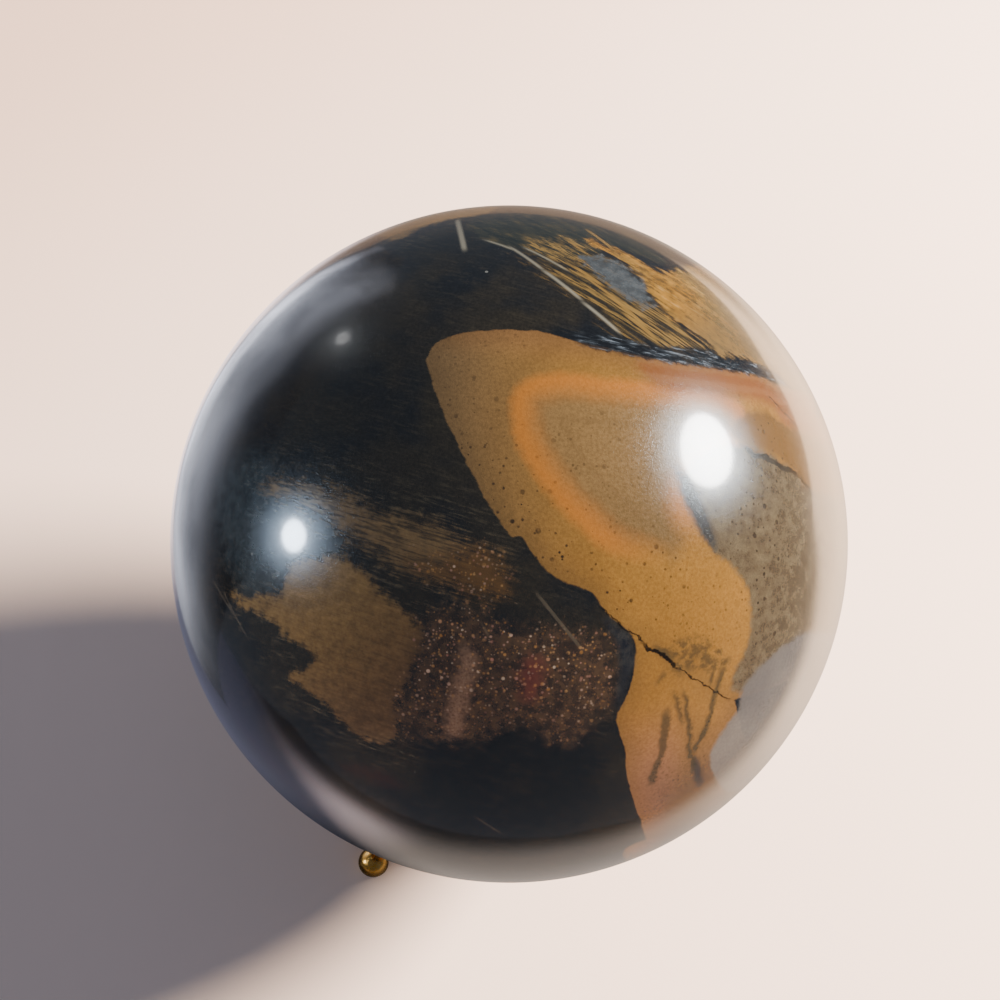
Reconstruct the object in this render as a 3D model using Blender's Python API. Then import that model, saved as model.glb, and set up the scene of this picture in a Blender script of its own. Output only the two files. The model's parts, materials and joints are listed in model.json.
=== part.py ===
"""Decorative sphere: a polished ball of banded stone resting on a small brass ring stand with three legs.

Metres, +Z up. The origin is on the floor under the middle of the sphere. The stand is cast as one piece: a round
ring, three S-shaped legs and a ball foot on each, cut flat underneath. The sphere only rests on the ring.
"""

import math

import bmesh
import bpy
from mathutils import Matrix, Vector

# Sphere
SPHERE_DIAMETER = 0.080
SPHERE_SEGMENTS = 64  # facets round the sphere, which are twice those from pole to pole

# Ring that the sphere sits on
RING_DIAMETER = 0.036  # of the ring's centreline
RING_THICKNESS = 0.0032
RING_HEIGHT = 0.0110  # from the floor to the ring's centreline
SEAT_GAP = 0.0003  # between the sphere and the ring

# Legs and feet
LEG_COUNT = 3
FIRST_LEG_ANGLE = math.radians(231.5)  # turn of the first leg about +Z, measured from +X
LEG_TOP_THICKNESS = 0.0029
LEG_ANKLE_THICKNESS = 0.0019
LEG_SPREAD = 0.0120  # how far a foot's centre stands outside the ring's centreline
KNEE_REACH = 0.0054  # how far the leg heads straight out before it bends down
ANKLE_REACH = 0.0066  # how far the leg runs along the floor before it meets its foot
FOOT_DIAMETER = 0.0042
FOOT_PAD_DIAMETER = 0.0022  # flat circle under each foot

STONE_COLOUR = (0.075, 0.052, 0.036, 1.0)
BRASS_COLOUR = (0.72, 0.47, 0.17, 1.0)

# What the sizes above lead to
RING_RADIUS = RING_DIAMETER / 2
FOOT_RADIUS = FOOT_DIAMETER / 2
FOOT_CENTRE_HEIGHT = math.sqrt(FOOT_RADIUS**2 - (FOOT_PAD_DIAMETER / 2) ** 2)
SEAT_REACH = SPHERE_DIAMETER / 2 + RING_THICKNESS / 2 + SEAT_GAP
SPHERE_CENTRE_HEIGHT = RING_HEIGHT + math.sqrt(SEAT_REACH**2 - RING_RADIUS**2)


def clear_scene():
    """Removes what the scene held before."""
    for obj in list(bpy.data.objects):
        bpy.data.objects.remove(obj, do_unlink=True)


def new_collection(name):
    collection = bpy.data.collections.new(name)
    bpy.context.scene.collection.children.link(collection)
    return collection


def move_to(obj, collection):
    """Puts an object in one collection and takes it out of any other."""
    for other in list(obj.users_collection):
        other.objects.unlink(obj)
    collection.objects.link(obj)


def make_material(name, colour, roughness, metallic):
    material = bpy.data.materials.new(name)
    material.use_nodes = True
    shader = material.node_tree.nodes["Principled BSDF"]
    shader.inputs["Base Color"].default_value = colour
    shader.inputs["Roughness"].default_value = roughness
    shader.inputs["Metallic"].default_value = metallic
    material.diffuse_color = colour
    return material


def make_helper(obj, collection):
    """Marks an object that a Boolean reads, which isn't a part itself."""
    move_to(obj, collection)
    obj.hide_render = True
    obj.display_type = "WIRE"


def add_sphere(name, radius, segments, centre):
    """A ball whose lowest and highest points are vertices."""
    mesh = bpy.data.meshes.new(name)
    work = bmesh.new()
    bmesh.ops.create_uvsphere(work, u_segments=segments, v_segments=segments // 2, radius=radius)
    work.to_mesh(mesh)
    work.free()
    mesh.shade_smooth()
    obj = bpy.data.objects.new(name, mesh)
    obj.location = centre
    return obj


def curve_to_mesh(curve_object):
    """A closed mesh object in a curve object's place: the caps are welded and the curve is removed."""
    bpy.context.view_layer.update()
    graph = bpy.context.evaluated_depsgraph_get()
    name = curve_object.name
    mesh = bpy.data.meshes.new_from_object(curve_object.evaluated_get(graph))
    work = bmesh.new()
    work.from_mesh(mesh)
    bmesh.ops.remove_doubles(work, verts=work.verts, dist=0.00001)
    bmesh.ops.recalc_face_normals(work, faces=work.faces)
    work.to_mesh(mesh)
    work.free()
    matrix = curve_object.matrix_world.copy()
    bpy.data.objects.remove(curve_object, do_unlink=True)
    obj = bpy.data.objects.new(name, mesh)
    obj.matrix_world = matrix
    return obj


def add_leg(name, turn):
    """An S-shaped tapered leg from the middle of the ring's wire to the middle of its foot."""
    curve = bpy.data.curves.new(name, "CURVE")
    curve.dimensions = "3D"
    curve.bevel_depth = LEG_TOP_THICKNESS / 2
    curve.bevel_resolution = 3
    curve.resolution_u = 12
    curve.use_fill_caps = True
    spline = curve.splines.new("BEZIER")
    spline.bezier_points.add(1)
    top, foot = spline.bezier_points
    top.co = (RING_RADIUS, 0.0, RING_HEIGHT)
    top.handle_left = top.co - Vector((KNEE_REACH, 0.0, 0.0))
    top.handle_right = top.co + Vector((KNEE_REACH, 0.0, 0.0))
    foot.co = (RING_RADIUS + LEG_SPREAD, 0.0, FOOT_CENTRE_HEIGHT)
    foot.handle_left = foot.co - Vector((ANKLE_REACH, 0.0, 0.0))
    foot.handle_right = foot.co + Vector((ANKLE_REACH, 0.0, 0.0))
    foot.radius = LEG_ANKLE_THICKNESS / LEG_TOP_THICKNESS
    obj = bpy.data.objects.new(name, curve)
    obj.rotation_euler.z = turn
    bpy.context.scene.collection.objects.link(obj)
    return curve_to_mesh(obj)


def add_foot(name, turn):
    """A ball whose lowest cap, which the floor cutter takes off, leaves the flat pad."""
    centre = Matrix.Rotation(turn, 4, "Z") @ Vector((RING_RADIUS + LEG_SPREAD, 0.0, FOOT_CENTRE_HEIGHT))
    obj = add_sphere(name, FOOT_RADIUS, 20, centre)
    obj.rotation_euler.z = turn
    return obj


def add_floor_cutter(name):
    """A block whose top is the floor, wide enough for all three feet."""
    width = 3 * (RING_RADIUS + LEG_SPREAD + FOOT_RADIUS)
    depth = 2 * FOOT_DIAMETER
    bpy.ops.mesh.primitive_cube_add(size=1.0, location=(0.0, 0.0, -depth / 2))
    obj = bpy.context.object
    obj.name = name
    obj.scale = (width, width, depth)
    return obj


def make_stand(parts, helpers, joined):
    """The ring, with the legs and feet joined to it and the feet cut flat at the floor."""
    bpy.ops.mesh.primitive_torus_add(
        major_radius=RING_RADIUS,
        minor_radius=RING_THICKNESS / 2,
        major_segments=72,
        minor_segments=14,
        location=(0.0, 0.0, RING_HEIGHT),
    )
    stand = bpy.context.object
    stand.name = "stand"
    stand.data.name = "stand"
    move_to(stand, parts)

    for index in range(LEG_COUNT):
        turn = FIRST_LEG_ANGLE + index * math.tau / LEG_COUNT
        make_helper(add_leg(f"leg_{index + 1}", turn), joined)
        make_helper(add_foot(f"foot_{index + 1}", turn), joined)
    floor = add_floor_cutter("floor_cutter")
    make_helper(floor, helpers)

    union = stand.modifiers.new("Legs and feet", "BOOLEAN")
    union.operation = "UNION"
    union.operand_type = "COLLECTION"
    union.collection = joined
    union.solver = "EXACT"
    cut = stand.modifiers.new("Flat underside", "BOOLEAN")
    cut.operation = "DIFFERENCE"
    cut.object = floor
    cut.solver = "EXACT"
    stand.data.materials.append(make_material("brass", BRASS_COLOUR, 0.22, 1.0))
    return stand


def make_sphere(parts):
    """The polished ball, seated on the ring."""
    sphere = add_sphere("sphere", SPHERE_DIAMETER / 2, SPHERE_SEGMENTS, (0.0, 0.0, SPHERE_CENTRE_HEIGHT))
    sphere.data.materials.append(make_material("stone", STONE_COLOUR, 0.08, 0.0))
    parts.objects.link(sphere)
    return sphere


def main():
    clear_scene()
    parts = new_collection("decorative_sphere")
    helpers = new_collection("cutters")
    joined = new_collection("joined_to_ring")
    make_sphere(parts)
    make_stand(parts, helpers, joined)


main()
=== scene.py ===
"""Decorative sphere: the finish of its polished stone ball and of its brass stand, and a plain studio.

Metres, +Z up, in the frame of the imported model. The stone's markings are laid out on the ball's face, which
is the side that the view looks at: a flat map round the face's middle carries each outline onto the ball as
a distance, and the stone's nodes turn those distances into bands, patches and veins.
"""

import json
import math

import bmesh
import bpy
import mathutils.noise
import numpy as np
from bpy.props import FloatProperty, FloatVectorProperty, PointerProperty
from mathutils import Matrix, Vector


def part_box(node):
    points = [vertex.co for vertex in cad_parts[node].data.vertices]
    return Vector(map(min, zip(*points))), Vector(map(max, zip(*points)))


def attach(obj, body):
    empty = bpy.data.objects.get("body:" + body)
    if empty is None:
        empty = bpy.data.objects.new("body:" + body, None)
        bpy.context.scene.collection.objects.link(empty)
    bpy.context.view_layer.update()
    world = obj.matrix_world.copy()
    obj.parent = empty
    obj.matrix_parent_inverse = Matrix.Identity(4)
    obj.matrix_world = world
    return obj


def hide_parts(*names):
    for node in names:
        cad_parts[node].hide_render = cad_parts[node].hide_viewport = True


bl_info = {
    "name": "Decorative Sphere",
    "version": (1, 0, 0),
    "blender": (4, 5, 0),
    "location": "View3D > Sidebar > Sphere",
    "description": "A polished stone ball with banded markings on a small brass stand",
    "category": "Add Mesh",
}

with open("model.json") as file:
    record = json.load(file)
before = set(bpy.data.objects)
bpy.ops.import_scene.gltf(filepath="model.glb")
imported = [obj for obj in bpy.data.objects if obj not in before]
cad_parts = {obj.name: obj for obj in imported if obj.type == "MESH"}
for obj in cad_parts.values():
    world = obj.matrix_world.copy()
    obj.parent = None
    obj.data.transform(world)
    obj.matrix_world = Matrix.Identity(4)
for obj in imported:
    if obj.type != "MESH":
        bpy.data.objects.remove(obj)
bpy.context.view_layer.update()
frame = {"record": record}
SPHERE_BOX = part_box("sphere")
STAND_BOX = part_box("stand")
FEET = [Vector(mount["pos_m"]) for mount in frame["record"]["mounts"] if mount["name"].startswith("foot_")]

MM = 0.001
ORIGIN = (0.0, 0.0, 0.0)
FAR_OUTSIDE = -6.0  # millimetres

# The ball, from the frame
BALL_RADIUS = (SPHERE_BOX[1].z - SPHERE_BOX[0].z) / 2
BALL_CENTRE = Vector((0.0, 0.0, (SPHERE_BOX[1].z + SPHERE_BOX[0].z) / 2))
BALL_CUTS = 119  # across each side of the cube that the ball is blown up from
BALL_WAVE_DEPTH = 0.004 * MM
BALL_WAVES = (((0.8, 0.5, 0.3), 9, 0.4), ((-0.4, 0.7, 0.6), 11, 2.0), ((0.1, -0.6, 0.8), 14, 4.1))

# The stand's finer form
RING_LIFT = 0.15 * MM  # brings the ring up to touch the ball
KNEE_REACH = 5.4 * MM  # how far a leg heads straight out before it bends down
ANKLE_REACH = 6.6 * MM  # how far a leg runs along the floor before it meets its foot
RING_SECTION_SIDES = 32
RING_STEPS = 180
LEG_SIDES = 28
LEG_STEPS = 40
STAND_VOXEL = 0.18 * MM
FILLET_PASSES = 6
WOBBLE_LENGTH = 2.4 * MM
WOBBLE_DEPTH = 0.02 * MM
HOLLOW_PASSES = 5
HOLLOW_FROM = -0.55  # how strongly the skin bends inwards, per millimetre, where tarnish starts to gather
HOLLOW_TO = 0.25

# The view, in pixels of the photograph's frame
FRAME_PIXELS = 1000
VIEW_MIDDLE = (509, 544)  # the ball's centre
VIEW_RADIUS = 339  # the ball's outline
VIEW_ELEVATION = math.radians(60)
VIEW_DISTANCE = 5.0  # from the ball's centre to the lens, in radii of the ball
BEYOND_TURN = math.radians(90)  # how far round the side one radius beyond the outline reaches
FACE_TURN = Matrix.Rotation(VIEW_ELEVATION - math.pi / 2, 3, "X")  # to the face's right, up and outwards

# Outlines of the stone's markings, in pixels of the view
OCHRE_FOLD = (
    (427, 358), (435, 344), (455, 335), (480, 331), (518, 330), (546, 333), (572, 340), (616, 350),
    (655, 358), (690, 363), (729, 369), (760, 375), (787, 388), (830, 396), (900, 400), (940, 450),
    (945, 530), (910, 600), (850, 650), (790, 680), (731, 700), (716, 692), (699, 683), (681, 671),
    (663, 660), (645, 644), (625, 628), (609, 615), (602, 606), (591, 592), (568, 583), (547, 570),
    (531, 552), (522, 537), (511, 536), (499, 519), (486, 501), (476, 481), (466, 462), (455, 439),
    (442, 410), (435, 390), (428, 367),
)
OCHRE_LOBE = (
    (618, 622), (628, 630), (634, 640), (636, 652), (634, 670), (629, 690), (622, 706), (617, 716),
    (620, 735), (625, 750), (626, 765), (629, 785), (640, 820), (655, 860), (690, 900), (760, 880),
    (800, 820), (770, 785), (752, 761), (746, 742), (738, 716), (734, 700), (716, 688), (690, 668),
    (655, 640), (640, 628),
)
FOLD_CORE = (
    (514, 404), (517, 392), (527, 383), (546, 377), (574, 376), (602, 380), (640, 383), (690, 390),
    (722, 396), (742, 410), (746, 440), (722, 462), (692, 480), (690, 510), (702, 535), (692, 562),
    (672, 580), (654, 567), (620, 556), (597, 541), (582, 526), (566, 512), (550, 492), (535, 470),
    (521, 445), (515, 422),
)
RED_BAND = (
    (640, 362), (690, 367), (729, 372), (760, 379), (787, 392), (820, 402), (880, 430), (870, 470),
    (830, 450), (801, 432), (783, 424), (772, 406), (746, 398), (718, 394), (690, 392), (655, 386),
)
GOLD_BAND = (
    (732, 430), (745, 414), (766, 412), (783, 424), (801, 432), (840, 458), (880, 500), (850, 510),
    (812, 490), (798, 476), (788, 466), (769, 453), (745, 447),
)
SPECKLED_ZONE = (
    (741, 446), (769, 453), (788, 466), (798, 476), (812, 489), (860, 510), (930, 540), (900, 620),
    (850, 650), (800, 672), (760, 690), (733, 690), (735, 671), (743, 656), (750, 634), (751, 610),
    (747, 588), (731, 565), (715, 554), (703, 536), (693, 514), (682, 488), (690, 465), (715, 448),
)
SLATE_ZONE = (
    (740, 712), (741, 694), (752, 676), (770, 658), (790, 642), (812, 632), (850, 640), (884, 684),
    (842, 750), (790, 772), (762, 757), (746, 734),
)
TIGER_ZONE = (
    (588, 238), (610, 246), (632, 257), (652, 268), (674, 272), (696, 266), (722, 258), (790, 296),
    (830, 350), (850, 400), (800, 392), (778, 382), (757, 366), (738, 356), (720, 356), (711, 347),
    (697, 338), (685, 329), (674, 321), (664, 310), (652, 298), (650, 286), (638, 272), (622, 260),
    (602, 248), (590, 242),
)
TIGER_FRINGE = (
    (560, 238), (585, 244), (612, 262), (640, 296), (664, 312), (690, 333), (716, 352), (690, 354),
    (655, 345), (625, 334), (606, 318), (585, 300), (560, 280), (535, 262), (520, 248),
)
GREEN_ZONE = (
    (470, 226), (500, 206), (545, 200), (600, 212), (650, 232), (682, 250), (664, 262), (640, 254),
    (612, 248), (590, 256), (560, 258), (525, 252), (500, 244),
)
BLUE_LENS = (
    (581, 257), (597, 257), (612, 261), (626, 268), (638, 278), (647, 289), (652, 302), (643, 306),
    (630, 300), (616, 290), (603, 279), (591, 268),
)
BLUE_FRINGE = (
    (674, 466), (688, 474), (698, 494), (712, 528), (717, 550), (706, 541), (696, 524), (684, 500),
)
BLUE_LOBE = (
    (604, 618), (616, 626), (628, 634), (633, 648), (633, 666), (628, 684), (621, 704), (615, 706),
    (618, 684), (620, 660), (615, 640), (606, 628),
)
BLUE_SPOT = ((694, 758), (699, 762), (703, 780), (698, 787), (694, 774))
FLECKED_VEIN = (
    (566, 334), (590, 334), (620, 338), (650, 346), (680, 347), (706, 350), (724, 360), (750, 362),
    (778, 374), (786, 386), (760, 377), (729, 371), (690, 366), (655, 361), (616, 353), (585, 346),
)
OLIVE_PATCH = (
    (231, 593), (248, 600), (262, 595), (279, 596), (285, 580), (290, 566), (313, 559), (339, 558),
    (357, 566), (372, 583), (396, 605), (412, 618), (425, 632), (420, 655), (410, 675), (397, 703),
    (399, 723), (393, 737), (384, 743), (366, 739), (350, 730), (335, 715), (321, 700), (302, 688),
    (287, 675), (299, 671), (311, 665), (313, 657), (306, 647), (294, 642), (283, 632), (273, 621),
    (258, 612), (241, 607),
)
OLIVE_STREAK = (
    (264, 484), (296, 484), (321, 489), (346, 494), (360, 504), (374, 514), (398, 520), (428, 524),
    (458, 538), (470, 556), (446, 572), (412, 574), (390, 562), (374, 548), (352, 540), (334, 526),
    (314, 514), (294, 502), (272, 493),
)
SPARKLE_ZONE = (
    (430, 614), (470, 610), (493, 620), (519, 628), (554, 628), (577, 634), (606, 636), (613, 653),
    (613, 702), (594, 720), (575, 742), (560, 746), (536, 728), (515, 722), (490, 736), (458, 740),
    (425, 738), (398, 738), (396, 702), (409, 672), (416, 646),
)
GRAIN_STREAK = (
    (410, 562), (440, 560), (458, 552), (480, 549), (497, 560), (504, 574), (507, 588), (499, 595),
    (470, 592), (448, 580), (425, 573),
)
RED_SPOT = ((524, 664), (536, 662), (541, 674), (537, 690), (528, 700), (522, 686))
PINK_SMEAR = (
    (463, 648), (474, 652), (474, 670), (468, 695), (460, 733), (446, 733), (449, 706), (456, 682),
    (460, 664),
)
RED_SMEAR = ((342, 768), (358, 766), (384, 774), (400, 786), (384, 784), (356, 775))
MIST = (
    (216, 486), (232, 462), (256, 452), (272, 470), (276, 500), (262, 530), (272, 566), (264, 598),
    (244, 588), (226, 556), (216, 520),
)
RIM_BROWN = (
    (376, 232), (404, 217), (440, 207), (480, 198), (520, 186), (566, 172), (612, 166), (580, 184),
    (540, 198), (504, 206), (486, 213), (452, 219), (420, 228), (392, 241),
)
BLOTCH = ((668, 656), (684, 640), (704, 640), (722, 650), (728, 664), (714, 672), (692, 668), (680, 674))

# Cracks, veins and pale streaks, one streak partly a painted reflection: ends in pixels of the view, then
# half width in millimetres
CRACK_LINES = (
    ((596, 604), (650, 647), 0.07),
    ((640, 641), (682, 671), 0.19),
    ((676, 667), (732, 701), 0.08),
)
VEIN_LINES = (
    ((668, 706), (651, 788), 0.50),
    ((674, 690), (683, 728), 0.20),
    ((682, 690), (692, 774), 0.30),
    ((724, 662), (692, 758), 0.40),
    ((652, 646), (676, 664), 0.46),
    ((676, 664), (692, 648), 0.34),
    ((688, 648), (704, 652), 0.46),
    ((700, 650), (722, 664), 0.34),
    ((667, 668), (654, 686), 0.36),
    ((716, 662), (708, 690), 0.26),
)
PALE_STREAKS_AND_REFLECTION = (
    ((507, 245), (546, 272), 0.15),
    ((540, 268), (584, 302), 0.18),
    ((580, 300), (622, 335), 0.18),
    ((521, 246), (570, 272), 0.10),
    ((482, 239), (520, 252), 0.12),
    # partly a painted reflection: this short upright streak near the top stands for a bright light's
    # reflection as well as a pale streak
    ((457, 219), (465, 252), 0.26),
)
GOLD_STREAKS = (
    ((570, 264), (606, 288), 0.22),
    ((604, 292), (650, 330), 0.22),
    ((584, 276), (628, 310), 0.16),
    ((584, 228), (616, 252), 0.24),
    ((563, 238), (588, 254), 0.16),
    ((622, 312), (660, 342), 0.24),
)
DARK_LINES = (
    ((740, 446), (800, 477), 0.30),
    ((795, 472), (816, 498), 0.26),
    ((766, 395), (802, 432), 0.12),
    ((664, 258), (678, 271), 0.22),
)
BLACK_SCRATCHES = (
    ((480, 621), (491, 640), 0.10),
    ((534, 590), (584, 652), 0.16),
    ((473, 815), (506, 836), 0.10),
    ((212, 578), (236, 618), 0.14),
    ((222, 588), (250, 642), 0.10),
)

# Markings on the side that the view doesn't show, in millimetres on a flat map round the middle of the back
BACK_FOLD = (
    (74, 26), (64, 30), (52, 30), (38, 24), (24, 13), (10, 1), (-3, -10), (-11, -22), (-9, -34), (0, -45),
    (12, -56), (24, -67), (30, -76), (46, -64), (58, -50), (70, -36), (76, -10),
)
BACK_CORE = (
    (72, 8), (58, 13), (46, 11), (33, 4), (20, -7), (11, -19), (14, -31), (27, -39), (42, -41), (56, -37),
    (70, -20),
)
BACK_SPECKLED = (
    (72, -2), (62, 0), (48, -2), (37, -9), (31, -19), (37, -27), (50, -29), (64, -26), (72, -22),
)
BACK_RED = (
    (74, 20), (64, 25), (52, 26), (38, 20), (24, 9), (14, 0), (18, -1), (28, 7), (40, 15), (53, 21),
    (64, 19),
)
BACK_FLECKED = (
    (72, 29), (64, 33), (52, 33), (37, 27), (23, 15), (9, 3), (2, -5), (9, 1), (24, 13), (38, 24),
    (52, 30),
)
BACK_SLATE = ((52, -58), (58, -46), (70, -40), (76, -52), (62, -66))
BACK_TIGER = (
    (64, 34), (52, 34), (37, 28), (23, 16), (8, 3), (-4, -8), (-14, -22), (-20, -38), (-26, -42),
    (-25, -24), (-14, -4), (0, 14), (14, 30), (26, 44), (40, 58), (50, 52), (60, 42),
)
BACK_GREEN = (
    (38, 60), (26, 48), (12, 34), (-2, 18), (-14, 0), (-24, -18), (-32, -16), (-26, 6), (-14, 26),
    (-6, 44), (-10, 64), (10, 68), (28, 64),
)
BACK_OLIVE = (
    (-62, -12), (-52, -6), (-40, 4), (-30, 16), (-22, 30), (-20, 40), (-30, 36), (-42, 22), (-54, 12),
    (-66, 4),
)
BACK_BROWN = ((-52, -48), (-40, -44), (-28, -50), (-16, -60), (-10, -70), (-24, -66), (-40, -58))
BACK_STREAK = ((-66, 28), (-54, 30), (-44, 37), (-36, 48), (-40, 50), (-50, 42), (-62, 33))
BACK_LENS = ((6, -62), (10, -54), (8, -44), (3, -50), (1, -60))
BACK_VEINS = (
    ((20, -34), (12, -52), 0.24),
    ((28, -42), (26, -60), 0.22),
    ((14, -24), (30, -30), 0.20),
    ((36, 14), (22, 0), 0.10),
)
BACK_PALE = (((-40, 24), (-6, 44), 0.24), ((-52, 4), (-30, 22), 0.20), ((-24, 8), (4, 26), 0.26))

LINE_FADE_IN = 1.4  # millimetres inside a line's end, where it starts to fade
LINE_FADE_OUT = 0.3  # millimetres outside a line's end, where it is gone

# The stage, in metres: the sheet under the ball, which the polish mirrors, and the glowing card at its left,
# no lamp, which paints a window's reflection into the polish
SHEET_CORNERS = (
    (-0.112, -0.080), (-0.050, -0.084), (0.0, -0.084), (0.028, -0.078), (0.128, -0.009), (0.192, 0.028),
    (0.200, 0.078), (0.208, 0.159), (0.212, 0.205), (-0.180, 0.205), (-0.152, 0.019), (-0.136, -0.032),
)
FAR_CORNERS = ((-3.0, -3.0), (3.0, -3.0), (3.0, 3.0), (-3.0, 3.0))
FAR_DROP = -0.02 * MM  # keeps the wide floor just below the sheet
CARD_X = -0.072
CARD_CORNERS = ((0.0, -0.02), (0.07, -0.02), (0.125, 0.07), (0.125, 0.14), (0.09, 0.20), (0.0, 0.21))
CARD_COLOUR = (0.93, 0.96, 1.12)

# The sheet as the polish mirrors it
MIRRORED_FRONT = (0.125, 0.138, 0.145)
# painted light: the left of the sheet, in the ball's shadow, is mirrored bright and bluish as if a window lit
# it
MIRRORED_LEFT_PAINTED_LIGHT = (0.72, 0.74, 0.88)
MIRRORED_BEHIND = (0.09, 0.08, 0.07)
UNLIT = (0.0, 0.0, 0.0)
MOTTLE_DIM = 0.97
CORNER_PAINTED_SHADE = (0.87, 0.78, 0.72)  # painted shade: how much of the sheet's colour is left in its upper left corner, made darker and warmer away from the key

# The lamps: where each stands, in the face's right, up and outwards, and its size in metres
KEY_WAY = (0.858, 0.407, 0.313)
KEY_SIZE = (0.187, 0.235)
KEY_TURN = math.radians(57)
KEY_DISTANCE = 0.62
KEY_COLOUR = (1.0, 0.97, 0.93)
SIDE_WAY = (-0.937, 0.035, 0.348)
SIDE_SIZE = (0.070, 0.080)
SIDE_TURN = math.radians(-37)
SIDE_COLOUR = (0.74, 0.85, 1.0)
GLINT_WAY = (-0.63, 0.777, -0.024)
GLINT_SIZE = (0.011, 0.020)
GLINT_POWER = 0.045
SMALL_LAMP_DISTANCE = 0.5
WASH_DISTANCE = 0.66
WASH_COLOUR = (1.0, 0.63, 0.43)
WHITE = (1.0, 1.0, 1.0)

# The light all round: what it gives, what the camera sees and what the polish mirrors
ROOM_TINT = (0.90, 0.88, 1.10)
ROOM_SEEN = (1.9, 1.55, 1.3)
ROOM_MIRRORED = (0.11, 0.125, 0.15)

FIBRE_ANGLE = math.radians(-33)  # of the stone's fibres across the face
BRUSH_ANGLE = math.radians(-17)  # of the fibres in its brown patches
VEIN_ANGLE = math.radians(-11)  # of the flecks in the vein along the fold
BACK_SWIRL = math.radians(-72)  # how far the fibres have turned on the back
SCRATCH_TURNS = ((0.5, 0.2, 0.4), (-0.7, 0.6, 1.5), (0.3, -0.9, 2.6))  # radians about X, Y and Z


def paint(red, green, blue):
    """A colour from 0 to 255, as on a colour chart, in Blender's linear light."""
    return tuple((value / 255) ** 2.2 for value in (red, green, blue))


class StoneSettings(bpy.types.PropertyGroup):
    """Colours of the stone's markings."""

    black: FloatVectorProperty(
        name="Black ground", description="The dark stone between the bands",
        subtype="COLOR", default=paint(25, 26, 28),
    )
    ochre: FloatVectorProperty(
        name="Ochre", description="The wide fold and the lobe below it",
        subtype="COLOR", default=paint(135, 97, 43),
    )
    orange: FloatVectorProperty(
        name="Orange", description="The band inside the fold",
        subtype="COLOR", default=paint(164, 103, 42),
    )
    olive: FloatVectorProperty(
        name="Olive", description="The fold's core",
        subtype="COLOR", default=paint(128, 99, 60),
    )
    gold: FloatVectorProperty(
        name="Gold", description="The silky streaks",
        subtype="COLOR", default=paint(142, 101, 38),
    )
    red: FloatVectorProperty(
        name="Red-brown", description="The band under the fold's edge",
        subtype="COLOR", default=paint(116, 70, 37),
    )
    blue: FloatVectorProperty(
        name="Blue-grey", description="The lens and the fringes",
        subtype="COLOR", default=paint(70, 74, 76),
    )
    brown: FloatVectorProperty(
        name="Olive-brown", description="The ragged patch on the left",
        subtype="COLOR", default=paint(118, 94, 56),
    )


class StandSettings(bpy.types.PropertyGroup):
    """Sizes of the stand's finer form."""

    ring_diameter: FloatProperty(
        name="Ring", description="Diameter of the ring's centreline", default=36 * MM, unit="LENGTH"
    )
    ring_thickness: FloatProperty(
        name="Ring wire", description="Thickness of the ring", default=3.4 * MM, unit="LENGTH"
    )
    ring_height: FloatProperty(
        name="Ring height", description="From the floor to the middle of the ring's wire",
        default=11 * MM + RING_LIFT, unit="LENGTH",
    )
    leg_top: FloatProperty(
        name="Leg at the ring", description="Thickness of a leg at its top", default=2.9 * MM, unit="LENGTH"
    )
    leg_ankle: FloatProperty(
        name="Leg at the foot", description="Thickness of a leg at its end", default=1.9 * MM, unit="LENGTH"
    )
    foot_diameter: FloatProperty(
        name="Ball foot", description="Diameter of each ball foot", default=4.2 * MM, unit="LENGTH"
    )
    foot_pad: FloatProperty(
        name="Foot pad", description="Diameter of the flat under each foot", default=2.2 * MM, unit="LENGTH"
    )


class StageSettings(bpy.types.PropertyGroup):
    """The studio's floor and light."""

    floor: FloatVectorProperty(
        name="Floor", description="Colour of the floor sheet", subtype="COLOR", default=(0.95, 0.85, 0.76),
    )
    floor_mirrored: FloatVectorProperty(
        name="Mirrored floor", description="Colour of the floor sheet as the polish mirrors it",
        subtype="COLOR", default=(0.62, 0.56, 0.45),
    )
    key_power: FloatProperty(
        name="Key light", description="Power of the main soft lamp", default=11.5, unit="POWER"
    )
    wash_power: FloatProperty(
        name="Floor wash", description="Power of the lamp that lights the floor alone",
        default=25.0, unit="POWER",
    )
    side_power: FloatProperty(
        name="Side light", description="Power of the small lamp", default=1.2, unit="POWER"
    )
    room_light: FloatProperty(
        name="Room light", description="Strength of the light all round", default=0.24
    )
    card_glow: FloatProperty(name="Card glow", description="Brightness of the mirrored card", default=1.0)


def on_the_map(pixel):
    """A pixel of the view as a place on the face's flat map, in millimetres right and up from its middle.

    A pixel outside the ball's outline carries on round its side.
    """
    right = (pixel[0] - VIEW_MIDDLE[0]) / VIEW_RADIUS
    up = (VIEW_MIDDLE[1] - pixel[1]) / VIEW_RADIUS
    reach = max(math.hypot(right, up), 1e-6)
    sight = math.atan(min(reach, 1.0) * math.tan(math.asin(1 / VIEW_DISTANCE)))
    slant = math.asin(min(VIEW_DISTANCE * math.sin(sight), 1.0))
    turn = slant - sight + max(reach - 1.0, 0.0) * BEYOND_TURN
    stretch = turn * BALL_RADIUS / MM / reach
    return Vector((right * stretch, up * stretch))


def on_the_ball(pixel):
    """The way from the ball's centre to what the view shows at a pixel: right, up and outwards."""
    place = on_the_map(pixel)
    turn = place.length * MM / BALL_RADIUS
    side = place.normalized() * math.sin(turn)
    return Vector((side.x, side.y, math.cos(turn)))


def on_the_back(place):
    """The way from the ball's centre to a place on the flat map round the middle of the back."""
    turn = math.hypot(*place) * MM / BALL_RADIUS
    side = Vector(place).normalized() * math.sin(turn)
    return Vector((side.x, side.y, -math.cos(turn)))


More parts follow.
